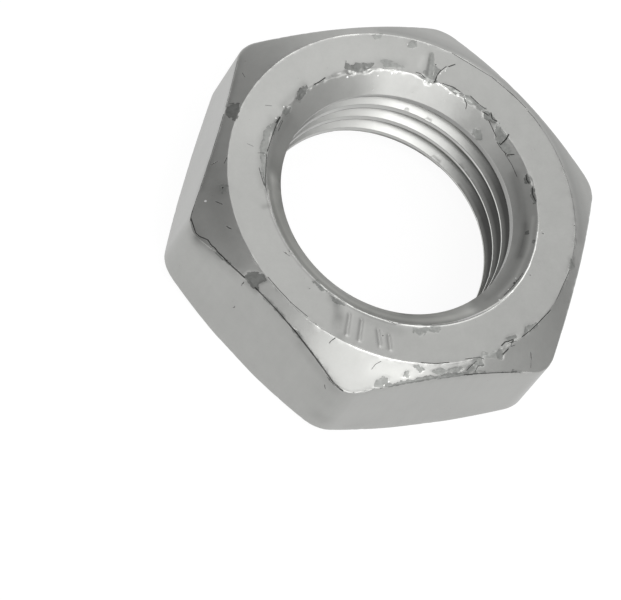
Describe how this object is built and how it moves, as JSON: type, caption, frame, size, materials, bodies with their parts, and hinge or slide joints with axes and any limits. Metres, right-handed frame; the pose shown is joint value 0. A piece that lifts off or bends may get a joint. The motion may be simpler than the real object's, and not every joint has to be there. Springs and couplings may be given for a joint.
{
  "type": "thin hex nut",
  "caption": "Thin hexagon nut with rounded corners, chamfered faces and a countersunk through thread, in worn zinc-plated steel.",
  "frame": {"origin": "centre of the lower bearing face, on the thread's axis", "axes": "+Z along the thread's axis towards the upper face with the bearing ring, +Y square to one of the flats, X through two opposite corners"},
  "size_m": [0.0362, 0.032, 0.01],
  "materials": {
    "zinc_plate": "satin zinc plate over steel, scuffed, with small chips and bruises"
  },
  "bodies": {
    "root": {"nut": "zinc_plate"}
  },
  "joints": []
}
